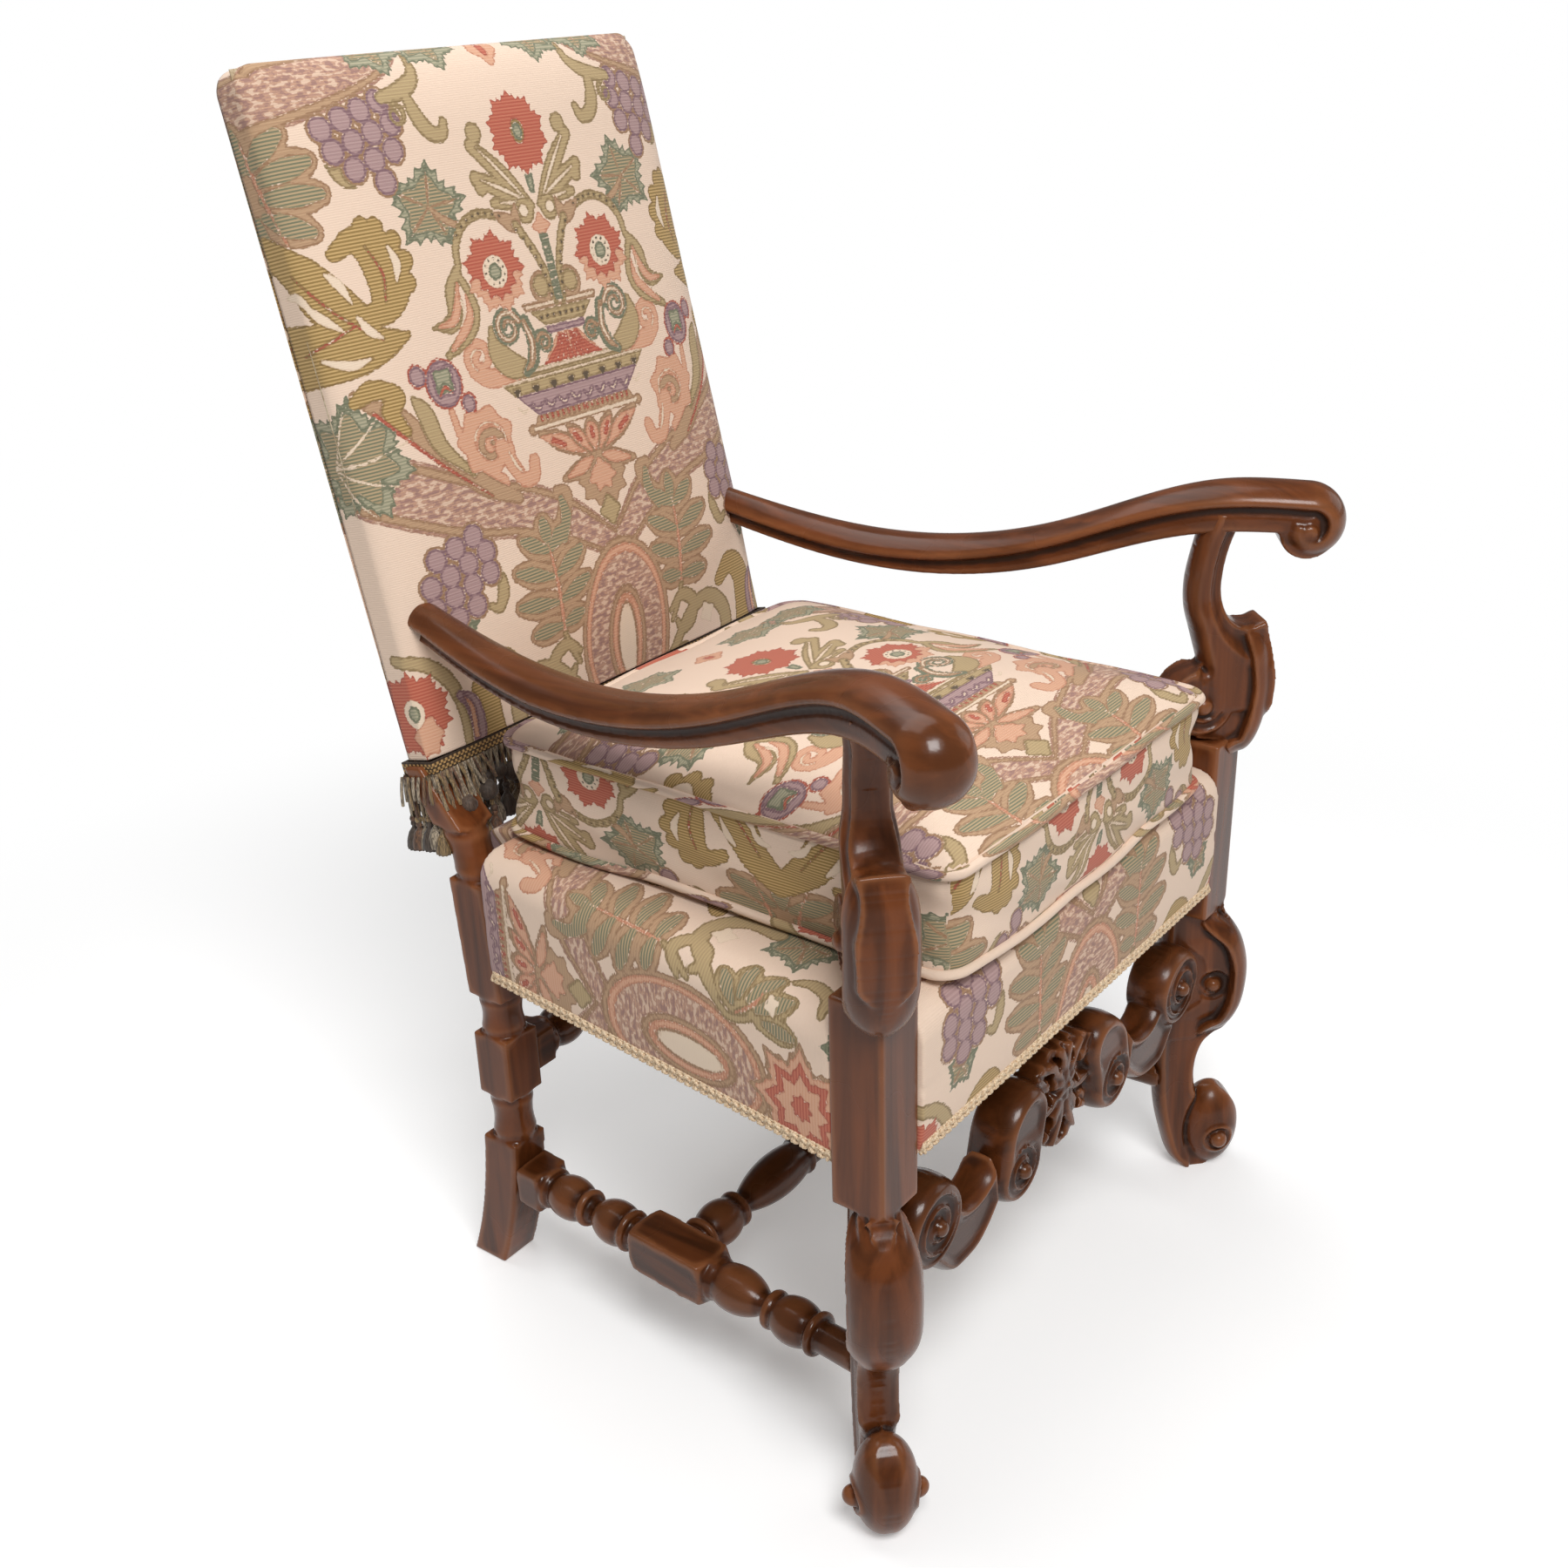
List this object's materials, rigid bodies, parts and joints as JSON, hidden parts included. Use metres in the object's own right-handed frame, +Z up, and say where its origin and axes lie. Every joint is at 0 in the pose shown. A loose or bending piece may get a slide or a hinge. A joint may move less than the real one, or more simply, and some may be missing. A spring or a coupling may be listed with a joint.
{
  "type": "open arm chair",
  "caption": "Upholstered open-arm chair with scrolled arms and front legs, turned stretchers, a carved front stretcher and a loose boxed cushion.",
  "frame": {"origin": "on the floor under the middle of the bounding box", "axes": "+Z up, -Y to the front of the chair, +X to the sitter's left"},
  "size_m": [0.6914, 0.7642, 1.0942],
  "materials": {
    "walnut": "dark polished walnut, glossy with worn edges",
    "frame_beech": "plain unpolished frame timber",
    "tapestry": "ribbed woven tapestry with flowers and leaves on cream",
    "piping": "piping cord covered in the tapestry",
    "gimp": "looped scroll braid",
    "fringe_header": "woven fringe heading",
    "fringe_tassels": "cut fringe in mixed browns",
    "webbing": "jute webbing",
    "hessian": "hessian",
    "stuffing": "fibre stuffing"
  },
  "bodies": {
    "chair_frame": {"arm_left": "walnut", "arm_right": "walnut", "arm_support_left": "walnut", "arm_support_right": "walnut", "back_cover": "tapestry", "back_lower_rail": "frame_beech", "back_outer_cover": "tapestry", "back_stuffing": "stuffing", "back_top_rail": "frame_beech", "back_webbing_cross": "webbing", "back_webbing_long": "webbing", "corner_blocks": "frame_beech", "cross_stretcher": "walnut", "fringe_header": "fringe_header", "fringe_tassels": "fringe_tassels", "front_leg_left": "walnut", "front_leg_right": "walnut", "front_rail": "frame_beech", "front_stretcher": "walnut", "rear_leg_left": "walnut", "rear_leg_right": "walnut", "rear_rail": "frame_beech", "rear_stretcher": "walnut", "seat_cover": "tapestry", "seat_gimp": "gimp", "seat_hessian": "hessian", "seat_stuffing": "stuffing", "seat_webbing_cross": "webbing", "seat_webbing_long": "webbing", "side_rail_left": "frame_beech", "side_rail_right": "frame_beech", "side_stretcher_left": "walnut", "side_stretcher_right": "walnut"},
    "seat_cushion": {"cushion_cover": "tapestry", "cushion_filling": "stuffing", "cushion_piping_bottom": "piping", "cushion_piping_top": "piping"}
  },
  "joints": [
    {"name": "cushion_slide", "type": "slide", "parent": "chair_frame", "child": "seat_cushion", "axis": [0, -1, 0], "range_m": [0, 0.5]}
  ]
}
